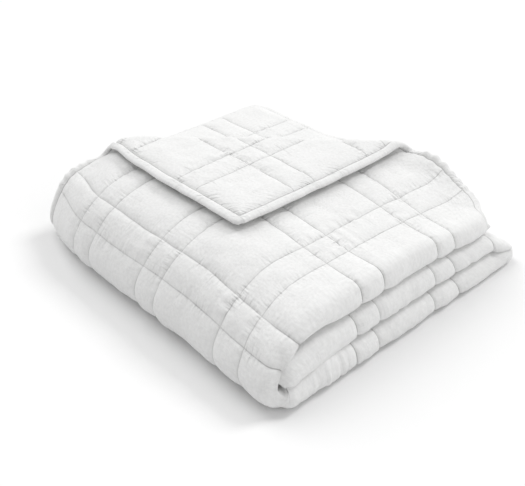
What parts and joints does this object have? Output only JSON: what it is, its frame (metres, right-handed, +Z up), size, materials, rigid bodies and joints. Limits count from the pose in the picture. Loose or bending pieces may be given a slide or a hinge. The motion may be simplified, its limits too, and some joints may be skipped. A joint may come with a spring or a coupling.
{
  "type": "weighted blanket",
  "caption": "Heavy filled blanket quilted in a double-line windowpane, with a rolled hem, folded into a flat stack with one corner turned back over the top.",
  "frame": {"origin": "centre of the folded stack's footprint, at its base", "axes": "+Z up; +X from the round side fold towards the free short hem; -Y towards the half fold at the front, +Y towards the loose long hems"},
  "size_m": [0.7426, 0.8058, 0.2116],
  "materials": {
    "cotton": "matt white woven cotton, quilted"
  },
  "bodies": {
    "root": {"quilted_blanket": "cotton"}
  },
  "joints": []
}
